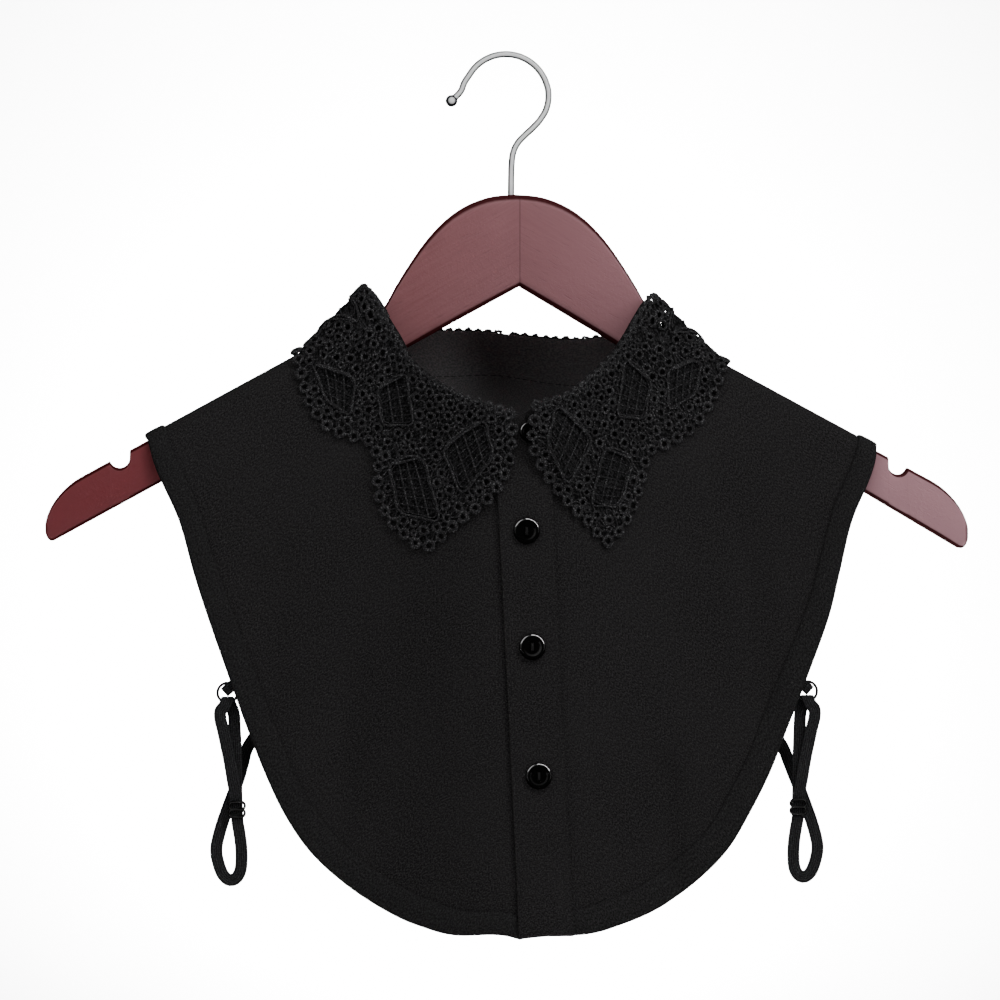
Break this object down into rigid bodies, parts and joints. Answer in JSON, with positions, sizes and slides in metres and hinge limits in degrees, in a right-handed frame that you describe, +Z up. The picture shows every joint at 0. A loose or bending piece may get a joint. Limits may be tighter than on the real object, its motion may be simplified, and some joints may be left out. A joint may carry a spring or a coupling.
{
  "type": "lace collar on a clothes hanger",
  "caption": "Detachable dickey collar of black cloth with a buttoned front, a turned-down lace collar and elastic side straps, on a shaped wooden hanger with a wire hook.",
  "frame": {"origin": "inside top of the hanger's hook, where the wire bears on a rail", "axes": "+X across the garment to the viewer's right, +Y to the back with the buttoned front facing -Y, +Z up"},
  "size_m": [0.4392, 0.0976, 0.4236],
  "materials": {
    "black_cloth": "plain weave, matt",
    "black_binding": "smooth close weave, matt",
    "black_lace": "corded thread",
    "black_button": "polished",
    "black_elastic": "ribbed elastic webbing",
    "black_metal": "black coated",
    "red_brown_wood": "satin lacquer, mahogany stain",
    "chromed_wire": "polished"
  },
  "bodies": {
    "root": {"back_panel": "black_cloth", "front_left_panel": "black_cloth", "front_right_panel": "black_cloth", "placket_band": "black_cloth", "collar_stand": "black_cloth", "binding_back": "black_binding", "binding_front_left": "black_binding", "binding_front_right": "black_binding", "lace_left_half": "black_lace", "lace_right_half": "black_lace", "button_1": "black_button", "button_2": "black_button", "button_3": "black_button", "button_collar": "black_button", "strap_left": "black_elastic", "strap_right": "black_elastic", "ring_tape_left": "black_elastic", "ring_tape_right": "black_elastic", "ring_left": "black_metal", "ring_right": "black_metal", "slider_left": "black_metal", "slider_right": "black_metal", "hanger_wood": "red_brown_wood", "hanger_hook": "chromed_wire"}
  },
  "joints": []
}
